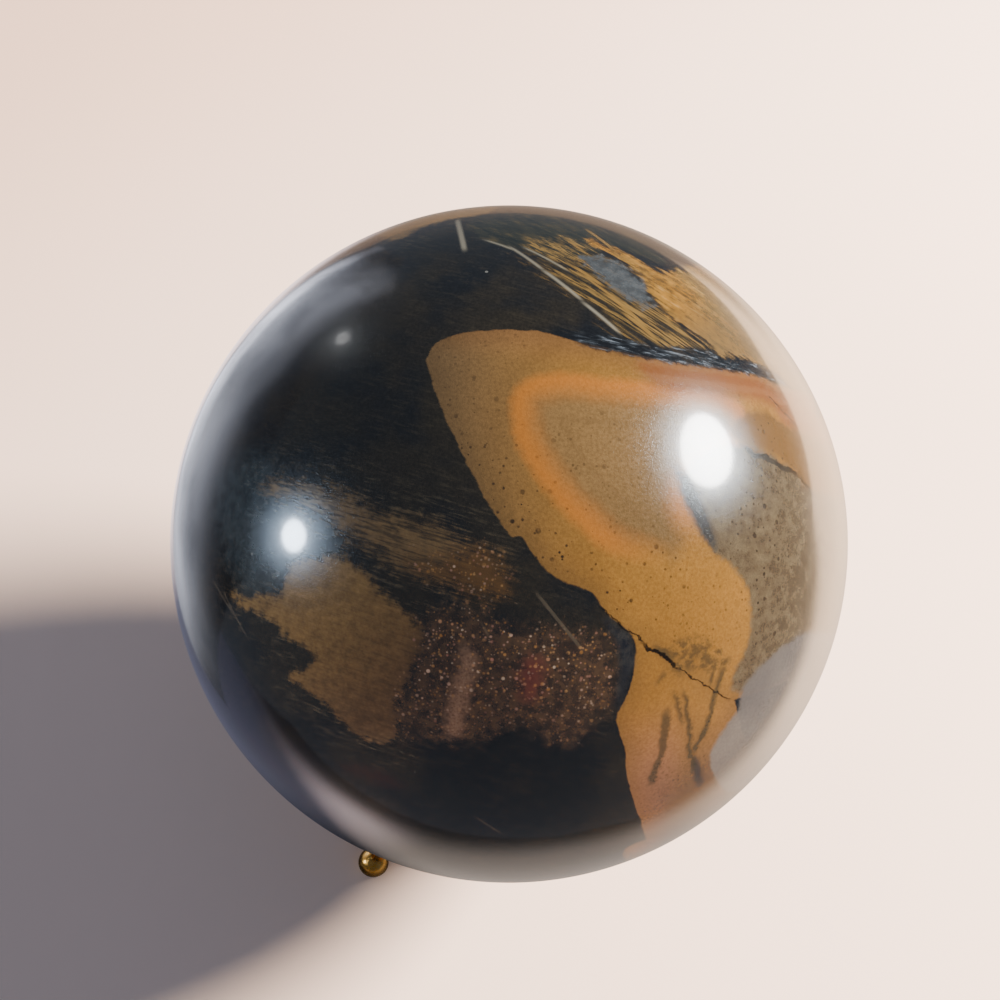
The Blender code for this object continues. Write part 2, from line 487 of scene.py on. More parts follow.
def smooth_outline(points, steps=6):
    """A closed curve through given points, in short straight steps."""
    ring = np.array([tuple(point) for point in points])
    before, after, beyond = (np.roll(ring, shift, axis=0) for shift in (1, -1, -2))
    run = np.linspace(0, 1, steps, endpoint=False)[None, :, None]
    before, start, after, beyond = (each[:, None, :] for each in (before, ring, after, beyond))
    curve = start + 0.5 * run * (after - before + run * (
        2 * before - 5 * start + 4 * after - beyond + run * (3 * (start - after) + beyond - before)
    ))
    return curve.reshape(-1, 2)


def depth_inside(places, outline):
    """How deep each place lies inside an outline, in millimetres, and below zero outside it."""
    low = outline.min(axis=0) + FAR_OUTSIDE
    high = outline.max(axis=0) - FAR_OUTSIDE
    near = np.all((places > low) & (places < high), axis=1)
    close = places[near]
    nearest = np.full(len(close), FAR_OUTSIDE**2)
    inside = np.zeros(len(close), bool)
    for start, end in zip(outline, np.roll(outline, -1, axis=0)):
        run = end - start
        share = np.clip((close - start) @ run / (run @ run), 0, 1)
        gap = close - start - share[:, None] * run
        nearest = np.minimum(nearest, (gap**2).sum(axis=1))
        if run[1]:
            crossed = (start[1] > close[:, 1]) != (end[1] > close[:, 1])
            edge = start[0] + run[0] * (close[:, 1] - start[1]) / run[1]
            inside ^= crossed & (close[:, 0] < edge)
    depth = np.full(len(places), FAR_OUTSIDE)
    depth[near] = np.where(inside, 1, -1) * np.sqrt(nearest)
    return depth


def flat_map(directions, outwards):
    """Places on the flat map round the ball's face (outwards is 1) or its back (-1), in millimetres."""
    turn = np.arccos(np.clip(directions[:, 2] * outwards, -1, 1))
    across = np.hypot(directions[:, 0], directions[:, 1])
    stretch = turn * BALL_RADIUS / MM / np.maximum(across, 1e-6)
    return directions[:, :2] * stretch[:, None]


MARKINGS = {
    "ochre": ((OCHRE_FOLD, OCHRE_LOBE), (BACK_FOLD,)),
    "lobe": ((OCHRE_LOBE,), ()),
    "core": ((FOLD_CORE,), (BACK_CORE,)),
    "red": ((RED_BAND,), (BACK_RED,)),
    "gold": ((GOLD_BAND,), ()),
    "speckled": ((SPECKLED_ZONE,), (BACK_SPECKLED,)),
    "slate": ((SLATE_ZONE,), (BACK_SLATE,)),
    "tiger": ((TIGER_ZONE,), (BACK_TIGER,)),
    "fringe": ((TIGER_FRINGE,), ()),
    "green": ((GREEN_ZONE,), (BACK_GREEN,)),
    "lens": ((BLUE_LENS,), (BACK_LENS,)),
    "blue": ((BLUE_FRINGE, BLUE_LOBE, BLUE_SPOT), ()),
    "blotch": ((BLOTCH,), ()),
    "mist": ((MIST,), ()),
    "flecked": ((FLECKED_VEIN,), (BACK_FLECKED,)),
    "olive": ((OLIVE_PATCH, RIM_BROWN), (BACK_OLIVE, BACK_BROWN)),
    "streak": ((OLIVE_STREAK,), (BACK_STREAK,)),
    "sparkle": ((SPARKLE_ZONE,), ()),
    "grains": ((GRAIN_STREAK,), ()),
    "spot": ((RED_SPOT,), ()),
    "smear": ((PINK_SMEAR,), ()),
    "reddish": ((RED_SMEAR,), ()),
}


def write_markings(mesh, directions):
    """Stores, for each kind of marking, how deep each point of the ball lies in it."""
    face = flat_map(directions, 1)
    back = flat_map(directions, -1)
    for name, (shown, hidden) in MARKINGS.items():
        depths = [depth_inside(face, smooth_outline([on_the_map(p) for p in outline])) for outline in shown]
        depths += [depth_inside(back, smooth_outline(outline)) for outline in hidden]
        depth = np.maximum.reduce(depths).astype(np.float32)
        mesh.attributes.new(name, "FLOAT", "POINT").data.foreach_set("value", depth)


def new_piece(name, work):
    """An object made of what a bmesh holds so far, in the scene."""
    mesh = bpy.data.meshes.new(name)
    work.to_mesh(mesh)
    piece = bpy.data.objects.new(name, mesh)
    bpy.context.scene.collection.objects.link(piece)
    return piece


def make_ball():
    """A ball of even faces, blown up from a cube, with the slight waves that polishing by hand leaves."""
    work = bmesh.new()
    bmesh.ops.create_cube(work, size=2.0)
    bmesh.ops.subdivide_edges(work, edges=work.edges[:], cuts=BALL_CUTS, use_grid_fill=True)
    corners = np.array([vert.co for vert in work.verts])
    directions = np.tan(corners * math.pi / 4)
    directions /= np.linalg.norm(directions, axis=1, keepdims=True)
    waves = sum(np.sin(directions @ np.array(way) * pace + start) for way, pace, start in BALL_WAVES)
    lengths = BALL_RADIUS - BALL_WAVE_DEPTH * (len(BALL_WAVES) - waves)
    for vert, direction, length in zip(work.verts, directions, lengths):
        vert.co = BALL_CENTRE + Vector(direction) * length
    ball = new_piece("stone_ball", work)
    work.free()
    ball.data.shade_smooth()
    write_markings(ball.data, directions @ np.array(FACE_TURN).T)
    return ball


def add_ring(work, settings):
    """The ring that the ball sits in, spun from the wire's round section."""
    section = bmesh.ops.create_circle(work, segments=RING_SECTION_SIDES, radius=settings.ring_thickness / 2)
    turn = Matrix.Rotation(math.pi / 2, 3, "X")
    bmesh.ops.rotate(work, cent=ORIGIN, matrix=turn, verts=section["verts"])
    middle = (settings.ring_diameter / 2, 0.0, settings.ring_height)
    bmesh.ops.translate(work, vec=middle, verts=section["verts"])
    edges = list({edge for vert in section["verts"] for edge in vert.link_edges})
    bmesh.ops.spin(
        work,
        geom=section["verts"] + edges,
        cent=ORIGIN,
        axis=(0.0, 0.0, 1.0),
        angle=math.tau,
        steps=RING_STEPS,
        use_merge=True,
    )


def leg_run(settings, foot):
    """Places down the middle of a leg, from the ring's wire to its foot, and its half thickness at each."""
    way = Vector((foot.x, foot.y, 0.0)).normalized()
    foot_radius = settings.foot_diameter / 2
    foot_height = math.sqrt(foot_radius**2 - (settings.foot_pad / 2) ** 2)
    top = way * settings.ring_diameter / 2 + Vector((0.0, 0.0, settings.ring_height - RING_LIFT))
    end = Vector((foot.x, foot.y, foot_height))
    handles = (top, top + way * KNEE_REACH, end - way * ANKLE_REACH, end)
    run = []
    for index in range(LEG_STEPS + 1):
        share = index / LEG_STEPS
        weights = ((1 - share) ** 3, 3 * share * (1 - share) ** 2, 3 * share**2 * (1 - share), share**3)
        place = sum((handle * weight for handle, weight in zip(handles, weights)), Vector())
        run.append((place, (settings.leg_top * (1 - share) + settings.leg_ankle * share) / 2))
    return run, end


def add_leg(work, settings, foot):
    """A leg that curves out and down from the ring, extruded step by step, and its ball foot."""
    run, end = leg_run(settings, foot)
    ahead = [place for place, _ in run[1:]] + [run[-1][0] * 2 - run[-2][0]]
    frames = []
    for (place, radius), after in zip(run, ahead):
        turn = (after - place).to_track_quat("Z", "Y").to_matrix().to_4x4()
        frames.append(Matrix.Translation(place) @ turn @ Matrix.Scale(radius, 4))
    circle = bmesh.ops.create_circle(work, cap_ends=True, segments=LEG_SIDES, radius=1.0)["verts"]
    bmesh.ops.transform(work, matrix=frames[0], verts=circle)
    face = circle[0].link_faces[0]
    for before, after in zip(frames, frames[1:]):
        face = bmesh.ops.extrude_discrete_faces(work, faces=[face])["faces"][0]
        bmesh.ops.transform(work, matrix=after @ before.inverted(), verts=face.verts[:])
    ball = bmesh.ops.create_icosphere(work, subdivisions=4, radius=settings.foot_diameter / 2)
    bmesh.ops.translate(work, vec=end, verts=ball["verts"])


def cast_in_one(work, voxel):
    """Joins everything in a mesh into one skin, with the soft fillets that casting leaves between parts."""
    piece = new_piece("stand_parts", work)
    rough = piece.data
    remesh = piece.modifiers.new("One skin", "REMESH")
    remesh.mode = "VOXEL"
    remesh.voxel_size = voxel
    bpy.context.view_layer.update()
    graph = bpy.context.evaluated_depsgraph_get()
    skin = bpy.data.meshes.new_from_object(piece.evaluated_get(graph))
    bpy.data.objects.remove(piece, do_unlink=True)
    bpy.data.meshes.remove(rough)
    work.clear()
    work.from_mesh(skin)
    bpy.data.meshes.remove(skin)
    axes = {"use_axis_x": True, "use_axis_y": True, "use_axis_z": True}
    for _ in range(FILLET_PASSES):
        bmesh.ops.smooth_vert(work, verts=work.verts, factor=0.5, **axes)


def hand_finish(work):
    """The slight unevenness that filing and buffing leave on a casting."""
    for vert in work.verts:
        vert.co += vert.normal * mathutils.noise.noise(vert.co / WOBBLE_LENGTH) * WOBBLE_DEPTH


def write_hollows(mesh):
    """Stores how hollow the skin is round each point, from 0 on rounded parts to 1 deep in the fillets."""
    count = len(mesh.vertices)
    places = np.empty(count * 3)
    normals = np.empty(count * 3)
    ends = np.empty(len(mesh.edges) * 2, int)
    mesh.vertices.foreach_get("co", places)
    mesh.vertices.foreach_get("normal", normals)
    mesh.edges.foreach_get("vertices", ends)
    places, normals = places.reshape(-1, 3), normals.reshape(-1, 3)
    first, last = ends[0::2], ends[1::2]
    shares = np.bincount(ends, minlength=count)

    def mean_round(values):
        total = np.bincount(first, values[last], count) + np.bincount(last, values[first], count)
        return total / shares

    around = np.stack([mean_round(places[:, axis]) for axis in range(3)], axis=1)
    bend = ((around - places) * normals).sum(axis=1) * 4 * MM / STAND_VOXEL**2
    for _ in range(HOLLOW_PASSES):
        bend = mean_round(bend)
    hollow = np.clip((bend - HOLLOW_FROM) / (HOLLOW_TO - HOLLOW_FROM), 0, 1)
    mesh.attributes.new("hollow", "FLOAT", "POINT").data.foreach_set("value", hollow.astype(np.float32))


def make_stand(settings):
    """The cast stand, cut flat under its feet, with its hollows marked for its tarnish."""
    work = bmesh.new()
    add_ring(work, settings)
    for foot in FEET:
        add_leg(work, settings, foot)
    bmesh.ops.recalc_face_normals(work, faces=work.faces)
    cast_in_one(work, STAND_VOXEL)
    hand_finish(work)
    cut = bmesh.ops.bisect_plane(
        work,
        geom=work.verts[:] + work.edges[:] + work.faces[:],
        plane_co=(0.0, 0.0, STAND_BOX[0].z),
        plane_no=(0.0, 0.0, 1.0),
        clear_inner=True,
    )
    rims = [item for item in cut["geom_cut"] if isinstance(item, bmesh.types.BMEdge)]
    bmesh.ops.edgenet_fill(work, edges=rims)
    bmesh.ops.recalc_face_normals(work, faces=work.faces)
    stand = new_piece("brass_stand", work)
    work.free()
    stand.data.shade_smooth()
    write_hollows(stand.data)
    return stand


class Nodes:
    """Adds nodes to a material or a node group and wires them as it goes."""

    def __init__(self, tree):
        self.tree = tree

    def set(self, socket, value):
        """Links a socket to another node, or gives it a number, a vector or a colour of its own."""
        if isinstance(value, bpy.types.NodeSocket):
            self.tree.links.new(value, socket)
        elif socket.type == "RGBA":
            socket.default_value = (*value[:3], 1.0)
        else:
            socket.default_value = value

    def add(self, kind, inputs=(), **settings):
        node = self.tree.nodes.new(kind)
        for name, value in settings.items():
            setattr(node, name, value)
        for name, value in dict(inputs).items():
            self.set(node.inputs[name], value)
        return node

    def math(self, operation, *values):
        node = self.add("ShaderNodeMath", operation=operation)
        for socket, value in zip(node.inputs, values):
            self.set(socket, value)
        return node.outputs[0]

    def times(self, first, second):
        return self.math("MULTIPLY", first, second)

    def vector(self, operation, *values):
        node = self.add("ShaderNodeVectorMath", operation=operation)
        for socket, value in zip(node.inputs, values):
            self.set(socket, value)
        return node.outputs["Value" if operation in ("DOT_PRODUCT", "LENGTH", "DISTANCE") else "Vector"]

    def step(self, value, low, high, first=0.0, last=1.0):
        """Eases from first to last as value goes from low to high."""
        inputs = {"Value": value, "From Min": low, "From Max": high, "To Min": first, "To Max": last}
        return self.add("ShaderNodeMapRange", inputs, interpolation_type="SMOOTHSTEP").outputs["Result"]

    def mix(self, share, first, second):
        node = self.add("ShaderNodeMix", data_type="RGBA")
        for index, value in ((0, share), (6, first), (7, second)):
            self.set(node.inputs[index], value)
        return node.outputs[2]

    def blend(self, field, low, high, first, second):
        """Eases from one colour to another as a field goes from low to high."""
        return self.mix(self.step(field, low, high), first, second)

    def finish(self, shader):
        """Ends a material with what its surface shows."""
        self.add("ShaderNodeOutputMaterial", {"Surface": shader})

    def noise(self, vector, scale, detail=2.0, roughness=0.5):
        inputs = {"Vector": vector, "Scale": scale, "Detail": detail, "Roughness": roughness}
        return self.add("ShaderNodeTexNoise", inputs)

    def shifted(self, place, colour, reach):
        """A place moved up to half of reach each way by a noise's colour."""
        parts = self.add("ShaderNodeSeparateColor", {"Color": colour}).outputs
        sides = {axis: self.math("SUBTRACT", part, 0.5) for axis, part in zip("XYZ", parts)}
        push = self.vector("SCALE", self.add("ShaderNodeCombineXYZ", sides).outputs["Vector"])
        self.set(push.node.inputs["Scale"], reach)
        return self.vector("ADD", place, push)

    def ramp(self, value, stops):
        """A colour for each value, between stops that are a value and a colour each."""
        node = self.add("ShaderNodeValToRGB", {"Fac": value})
        elements = node.color_ramp.elements
        while len(elements) < len(stops):
            elements.new(1.0)
        for element, (position, colour) in zip(elements, stops):
            element.position = position
            element.color = (*colour, 1.0)
        return node.outputs["Color"]


def new_material(name):
    """A material without any nodes yet."""
    material = bpy.data.materials.new(name)
    material.use_nodes = True
    material.node_tree.nodes.clear()
    return material


def new_group(name, inputs, outputs):
    """A shader node group that turns numbers and vectors into masks, with the nodes at its two ends."""
    tree = bpy.data.node_groups.new(name, "ShaderNodeTree")
    for label, default in inputs.items():
        kind = "NodeSocketFloat" if isinstance(default, float) else "NodeSocketVector"
        tree.interface.new_socket(label, in_out="INPUT", socket_type=kind).default_value = default
    for label in outputs:
        tree.interface.new_socket(label, in_out="OUTPUT", socket_type="NodeSocketFloat")
    return tree, tree.nodes.new("NodeGroupInput"), tree.nodes.new("NodeGroupOutput")


def line_group():
    """A thin line on the ball: where a plane through its centre meets its surface, near a middle."""
    sockets = {
        "Place": ORIGIN,
        "Across": (1.0, 0.0, 0.0),
        "Middle": (0.0, 0.0, 40.0),
        "Full Until": 1.0,
        "Gone From": 2.0,
        "Inner": 0.03,
        "Outer": 0.17,
    }
    tree, start, end = new_group("Line on the ball", sockets, ("Mask",))
    nodes = Nodes(tree)
    place = start.outputs["Place"]
    off = nodes.math("ABSOLUTE", nodes.vector("DOT_PRODUCT", place, start.outputs["Across"]))
    run = nodes.vector("DISTANCE", place, start.outputs["Middle"])
    fade = nodes.step(run, start.outputs["Gone From"], start.outputs["Full Until"])
    mask = nodes.step(off, start.outputs["Outer"], start.outputs["Inner"], 0.0, fade)
    nodes.set(end.inputs["Mask"], mask)
    return tree


def speck_group():
    """Scattered specks: Share of the cells hold one, and Speck is its size in its cell."""
    sockets = {"Place": ORIGIN, "Cell": 1.0, "Share": 0.3, "Speck": 0.3}
    tree, start, end = new_group("Specks", sockets, ("Mask", "Pick"))
    nodes = Nodes(tree)
    scale = nodes.math("DIVIDE", 1.0, start.outputs["Cell"])
    cells = nodes.add("ShaderNodeTexVoronoi", {"Vector": start.outputs["Place"], "Scale": scale})
    parts = nodes.add("ShaderNodeSeparateColor", {"Color": cells.outputs["Color"]})
    chosen = nodes.math("LESS_THAN", parts.outputs["Red"], start.outputs["Share"])
    size = nodes.times(start.outputs["Speck"], nodes.step(parts.outputs["Green"], 0.0, 1.0, 0.4, 1.0))
    rim = nodes.times(size, 0.5)
    mask = nodes.times(nodes.step(cells.outputs["Distance"], rim, size, 1.0, 0.0), chosen)
    nodes.set(end.inputs["Mask"], mask)
    nodes.set(end.inputs["Pick"], parts.outputs["Blue"])
    return tree


def grain_group():
    """Fine grain and broad clouds in one: places are in millimetres."""
    sockets = {"Place": ORIGIN, "Grain Scale": 3.0, "Cloud Scale": 0.1}
    tree, start, end = new_group("Grain and clouds", sockets, ("Grain", "Cloud"))
    nodes = Nodes(tree)
    place = start.outputs["Place"]
    for name, roughness in (("Grain", 0.65), ("Cloud", 0.55)):
        noise = nodes.noise(place, start.outputs[name + " Scale"], 3.0, roughness)
        nodes.set(end.inputs[name], noise.outputs["Fac"])
    return tree


def scratch_group():
    """Hairline scratches that run in a few directions, from handling and wiping."""
    tree, start, end = new_group("Hairline scratches", {"Place": ORIGIN, "Spacing": 4.0}, ("Mask",))
    nodes = Nodes(tree)
    total = None
    for turn in SCRATCH_TURNS:
        inputs = {"Vector": start.outputs["Place"], "Rotation": turn, "Scale": (1.0, 0.05, 1.0)}
        drawn = nodes.add("ShaderNodeMapping", inputs, vector_type="POINT").outputs["Vector"]
        inputs = {"Vector": drawn, "Scale": nodes.math("DIVIDE", 1.0, start.outputs["Spacing"])}
        cells = nodes.add("ShaderNodeTexVoronoi", inputs, feature="DISTANCE_TO_EDGE")
        line = nodes.step(cells.outputs["Distance"], 0.0, 0.012, 1.0, 0.0)
        total = line if total is None else nodes.math("MAXIMUM", total, line)
    worn = nodes.noise(start.outputs["Place"], 0.12, 2.0).outputs["Fac"]
    nodes.set(end.inputs["Mask"], nodes.times(total, nodes.step(worn, 0.45, 0.65)))
    return tree


class StoneNodes(Nodes):
    """The stone's nodes, with the fields that its markings share."""

    def __init__(self, tree, settings, groups):
        super().__init__(tree)
        self.settings = settings
        self.groups = groups
        self.place = self.face_place()
        self.spot = self.vector("ADD", self.place, ORIGIN)
        behind = self.add("ShaderNodeSeparateXYZ", {"Vector": self.place}).outputs["Z"]
        self.front = self.step(behind, -8.0, 14.0, 0.3, 1.0)
        swirl = {"Vector": self.place, "Angle": self.step(behind, -26.0, 3.0, BACK_SWIRL, 0.0)}
        self.swirled = self.add("ShaderNodeVectorRotate", swirl, rotation_type="Z_AXIS").outputs["Vector"]
        wander = self.noise(self.place, 0.35, 3.0, 0.55)
        small = self.noise(self.place, 1.6, 3.0, 0.6)
        wandered = self.shifted(self.spot, wander.outputs["Color"], 1.7)
        self.warped = self.shifted(wandered, small.outputs["Color"], 0.7)
        self.mottle = self.noise(self.place, 0.9, 5.0, 0.65).outputs["Fac"]
        self.ragged = self.math("SUBTRACT", self.mottle, 0.5)
        fields = self.group("grain", {"Place": self.place, "Grain Scale": 3.2, "Cloud Scale": 0.085})
        self.grain = fields["Grain"]
        self.cloud = fields["Cloud"]
        self.fine_grain = self.noise(self.place, 7.0, 2.0, 0.6).outputs["Fac"]
        self.fibre = self.fibres(9.0, 0.7, 2.2, 4.0)
        self.thread = self.fibres(4.0, 0.20, 0.8, 3.0)
        self.brushed = self.fibres(3.4, 0.30, 1.2, 4.0, BRUSH_ANGLE)
        self.drawn = self.times(self.math("SUBTRACT", self.fibre, 0.5), self.front)
        self.drawn_brown = self.times(self.math("SUBTRACT", self.brushed, 0.5), self.front)

    def group(self, name, inputs):
        """The outputs of one of the shared groups, placed with its own values."""
        return self.add("ShaderNodeGroup", inputs, node_tree=self.groups[name]).outputs

    def slope(self, way, low, high):
        """A gradient over the face: 0 to 1 as the place goes from low to high millimetres along a way."""
        return self.step(self.vector("DOT_PRODUCT", self.spot, way), low, high)

    def face_place(self):
        """Millimetres right, up and outwards from the ball's centre, as the face has them."""
        shift = FACE_TURN @ (BALL_CENTRE * -1 / MM)
        source = self.add("ShaderNodeTexCoord").outputs["Object"]
        inputs = {
            "Vector": source,
            "Location": shift,
            "Rotation": (VIEW_ELEVATION - math.pi / 2, 0.0, 0.0),
            "Scale": (1 / MM, 1 / MM, 1 / MM),
        }
        return self.add("ShaderNodeMapping", inputs, vector_type="POINT").outputs["Vector"]

    def fibres(self, along, across, deep, detail, turn=FIBRE_ANGLE):
        """Noise drawn out along the stone's fibres, with its sizes in millimetres."""
        inputs = {"Vector": self.swirled, "Rotation": (0.0, 0.0, turn), "Scale": (along, across, deep)}
        drawn = self.add("ShaderNodeMapping", inputs, vector_type="TEXTURE").outputs["Vector"]
        return self.noise(drawn, 1.0, detail, 0.6).outputs["Fac"]

    def depth(self, name, ragged=0.0):
        """How deep a place lies in a marking, with the marking's edge roughened by ragged."""
        depth = self.add("ShaderNodeAttribute", attribute_name=name).outputs["Fac"]
        return self.math("MULTIPLY_ADD", self.ragged, ragged, depth) if ragged else depth

    def zone(self, name, soft=0.08, ragged=0.0, drawn=0.0, streaks=None):
        """A marking's mask: its edge blurred by soft, roughened by ragged and drawn out by the fibres."""
        depth = self.depth(name, ragged)
        if drawn:
            depth = self.math("MULTIPLY_ADD", streaks or self.drawn, drawn, depth)
        return self.step(depth, -soft, soft)

    def line(self, first, last, half_width, soft, place):
        """A line between two directions from the ball's centre, which fades out at its ends."""
        middle = (first + last).normalized() * BALL_RADIUS / MM
        reach = (first - last).length * BALL_RADIUS / MM / 2
        values = {
            "Place": place,
            "Across": first.cross(last).normalized(),
            "Middle": middle,
            "Full Until": reach - LINE_FADE_IN,
            "Gone From": reach + LINE_FADE_OUT,
            "Inner": half_width - soft,
            "Outer": half_width + soft,
        }
        return self.group("line", values)["Mask"]

    def all_lines(self, lines, straight=False, where=on_the_ball, soft=0.07):
        """One mask for a set of lines, which wander a little unless they are straight."""
        place = self.spot if straight else self.warped
        total = 0.0
        for first, last, half_width in lines:
            line = self.line(where(first), where(last), half_width, soft, place)
            total = self.math("MAXIMUM", total, line)
        return total

    def specks(self, cell, share, speck):
        """A mask of specks, and a number from 0 to 1 that is the same all over each of them."""
        outputs = self.group("specks", {"Place": self.place, "Cell": cell, "Share": share, "Speck": speck})
        return outputs["Mask"], outputs["Pick"]

    def lay(self, ground, colour, mask, strength=1.0):
        """One marking laid over what is there."""
        return self.mix(mask if strength == 1.0 else self.times(mask, strength), ground, colour)

    def varied(self, colour, field, low, high):
        """A colour made darker or lighter by a field that runs about 0.3 to 0.7."""
        inputs = {"Color": colour, "Value": self.step(field, 0.3, 0.7, low, high)}
        return self.add("ShaderNodeHueSaturation", inputs).outputs["Color"]


def black_ground(stone):
    """Near-black stone, browner in places, with fibres that show faintly near the brown patches."""
    colour = stone.blend(stone.cloud, 0.42, 0.62, stone.settings.black, paint(40, 36, 29))
    colour = stone.varied(colour, stone.grain, 0.75, 1.3)
    near = stone.math("MAXIMUM", stone.depth("olive"), stone.depth("streak"))
    near = stone.step(near, FAR_OUTSIDE, -0.5, 0.16, 0.8)
    threads = stone.times(stone.step(stone.brushed, 0.46, 0.66), stone.step(stone.ragged, -0.15, 0.15))
    colour = stone.lay(colour, paint(84, 76, 60), stone.times(threads, near))
    mist = stone.times(stone.zone("mist", 2.5, 3.0), stone.step(stone.ragged, -0.3, 0.2, 0.3, 1.0))
    colour = stone.lay(colour, paint(72, 84, 88), mist, 0.55)
    glints, _ = stone.specks(2.4, 0.14, 0.10)
    return stone.lay(colour, paint(140, 140, 134), glints, 0.6)


def silky(stone, stops, depth=0.5):
    """Colours drawn out along the fibres, from dark to pale."""
    blend = stone.math("MULTIPLY_ADD", stone.math("SUBTRACT", stone.thread, 0.5), depth, stone.fibre)
    return stone.ramp(blend, stops)


def lay_dark_side(stone, colour):
    """The green area, the golden silk with its blue-grey lens, and the pale lines at the upper right, one of
    them partly a painted reflection.
    """
    greens = ((0.35, paint(30, 34, 31)), (0.55, paint(48, 48, 38)), (0.75, paint(80, 70, 46)))
    green = silky(stone, greens, 0.35)
    colour = stone.lay(colour, green, stone.zone("green", 0.9, 2.0, 3.0), 0.9)
    fringe = stone.times(stone.zone("fringe", 1.2, 1.5, 6.0), stone.step(stone.thread, 0.40, 0.56))
    drab = silky(stone, ((0.35, paint(56, 48, 32)), (0.5, paint(98, 80, 46)), (0.65, paint(142, 112, 60))))
    colour = stone.lay(colour, drab, fringe, 0.75)
    gold = stone.blend(stone.cloud, 0.4, 0.6, stone.settings.gold, paint(134, 104, 50))
    gold = stone.varied(gold, stone.fibre, 0.66, 1.2)
    gold = stone.varied(gold, stone.mottle, 0.72, 1.2)
    dim = stone.math("MULTIPLY_ADD", stone.ragged, 0.5, stone.thread)
    gold = stone.lay(gold, paint(62, 52, 32), stone.step(dim, 0.34, 0.48, 0.6, 0.0))
    gold = stone.lay(gold, paint(166, 142, 94), stone.step(dim, 0.58, 0.74, 0.0, 0.55))
    gold = stone.lay(gold, paint(98, 84, 58), stone.slope((0.6, -0.8, 0.0), -11.0, -4.0), 0.7)
    colour = stone.lay(colour, gold, stone.zone("tiger", 0.5, 1.6, 5.0))
    lens = stone.depth("lens", 4.5)
    grey = stone.varied(stone.settings.blue, stone.mottle, 0.6, 1.25)
    colour = stone.lay(colour, grey, stone.step(lens, -0.6, 0.6, 0.0, 0.95))
    colour = stone.lay(colour, paint(140, 108, 54), stone.all_lines(GOLD_STREAKS, True), 0.7)
    # pale streaks in the stone; the short upright one near the top is partly a painted reflection
    colour = stone.lay(colour, paint(146, 140, 122), stone.all_lines(PALE_STREAKS_AND_REFLECTION, True, soft=0.2), 0.7)
    return stone.lay(colour, paint(110, 102, 84), stone.all_lines(BACK_PALE, True, on_the_back), 0.5)


def brown_patch(stone):
    """Brushed olive-brown stone that darkens towards the lower right."""
    far = stone.slope((0.6, -0.8, 0.0), -8.0, 7.0)
    brown = stone.mix(far, stone.settings.brown, paint(86, 66, 43))
    pale = stone.slope((0.0, -1.0, 0.0), 18.0, 21.5)
    brown = stone.mix(stone.times(pale, 0.6), brown, paint(122, 98, 68))
    brown = stone.varied(brown, stone.brushed, 0.86, 1.12)
    brown = stone.varied(brown, stone.grain, 0.9, 1.1)
    return stone.varied(brown, stone.mottle, 0.76, 1.18)


def lay_brown_side(stone, colour):
    """The ragged olive-brown patch and streak, and the dark area full of bright grains."""
    brown = brown_patch(stone)
    patch = stone.zone("olive", 0.6, 2.4, 1.2, stone.drawn_brown)
    colour = stone.lay(colour, brown, stone.times(patch, stone.front))
    streak = stone.zone("streak", 1.4, 3.0, 2.4, stone.drawn_brown)
    streak = stone.times(streak, stone.step(stone.brushed, 0.36, 0.60, 0.35, 0.9))
    colour = stone.lay(colour, stone.mix(0.35, brown, paint(92, 78, 62)), stone.times(streak, stone.front))
    bed = stone.blend(stone.ragged, -0.2, 0.2, paint(48, 38, 32), paint(82, 64, 47))
    area = stone.zone("sparkle", 1.4, 4.0, 3.0)
    colour = stone.lay(colour, bed, area, 0.85)
    gold_area = stone.zone("grains", 1.4, 4.0, 4.0, stone.drawn_brown)
    colour = stone.lay(colour, stone.varied(paint(112, 82, 46), stone.ragged, 0.6, 1.2), gold_area, 0.8)
    high = stone.slope((0.0, 1.0, 0.0), -20.0, -9.0)
    for cell, share, speck, strength in ((0.36, 0.75, 0.5, 0.5), (0.62, 0.5, 0.42, 0.8)):
        mask, pick = stone.specks(cell, share, speck)
        tones = stone.ramp(pick, (
            (0.0, paint(150, 104, 52)),
            (0.4, paint(166, 128, 82)),
            (0.7, paint(150, 104, 90)),
            (1.0, paint(196, 176, 150)),
        ))
        amount = stone.math("MAXIMUM", stone.times(area, stone.step(high, 0.0, 1.0, 0.42, 1.15)), gold_area)
        clumps = stone.step(stone.ragged, -0.22, 0.10)
        shown = stone.times(stone.times(mask, amount), clumps)
        colour = stone.lay(colour, tones, shown, strength)
    colour = stone.lay(colour, paint(112, 44, 46), stone.zone("spot", 1.4, 4.0), 0.4)
    colour = stone.lay(colour, paint(66, 36, 30), stone.zone("reddish", 1.2, 2.5), 0.5)
    smear = stone.times(stone.zone("smear", 1.0, 1.6), stone.step(stone.grain, 0.3, 0.6, 0.5, 1.0))
    return stone.lay(colour, paint(136, 108, 86), smear, 0.72)


